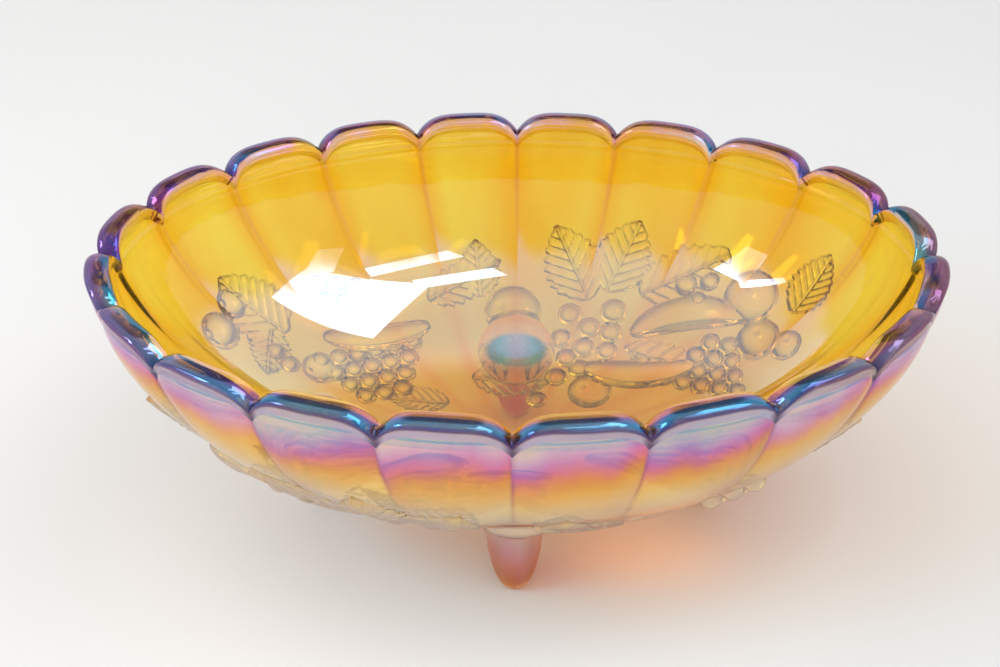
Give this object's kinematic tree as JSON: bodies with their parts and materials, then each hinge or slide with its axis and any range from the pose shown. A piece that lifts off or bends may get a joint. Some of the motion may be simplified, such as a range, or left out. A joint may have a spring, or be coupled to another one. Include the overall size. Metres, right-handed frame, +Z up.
{
  "type": "glass fruit bowl",
  "caption": "Oval pressed iridescent amber glass fruit bowl with scalloped lip, panelled wall, moulded fruit underneath and short solid feet.",
  "frame": {"origin": "on the table, under the middle of the bowl", "axes": "+X along the bowl's length to the right, -Y towards the front, +Z up out of the bowl's mouth"},
  "size_m": [0.3052, 0.2178, 0.118],
  "materials": {
    "body_glass": "clear marigold amber glass with an iridescent skin",
    "rim_glass": "amber glass under a strong blue and purple iridescent skin",
    "foot_glass": "solid amber glass with a satin pink iridescent skin",
    "relief_glass": "moulded amber glass with an iridescent skin"
  },
  "bodies": {
    "root": {"bowl_body": "body_glass", "scalloped_rim": "rim_glass", "foot_front": "foot_glass", "foot_back": "foot_glass", "foot_left": "foot_glass", "foot_right": "foot_glass", "front_grapes": "relief_glass", "back_grapes": "relief_glass", "front_cherries": "relief_glass", "back_cherries": "relief_glass", "front_round_fruit": "relief_glass", "back_round_fruit": "relief_glass", "front_bananas": "relief_glass", "back_bananas": "relief_glass", "front_leaves": "relief_glass", "back_leaves": "relief_glass"}
  },
  "joints": []
}
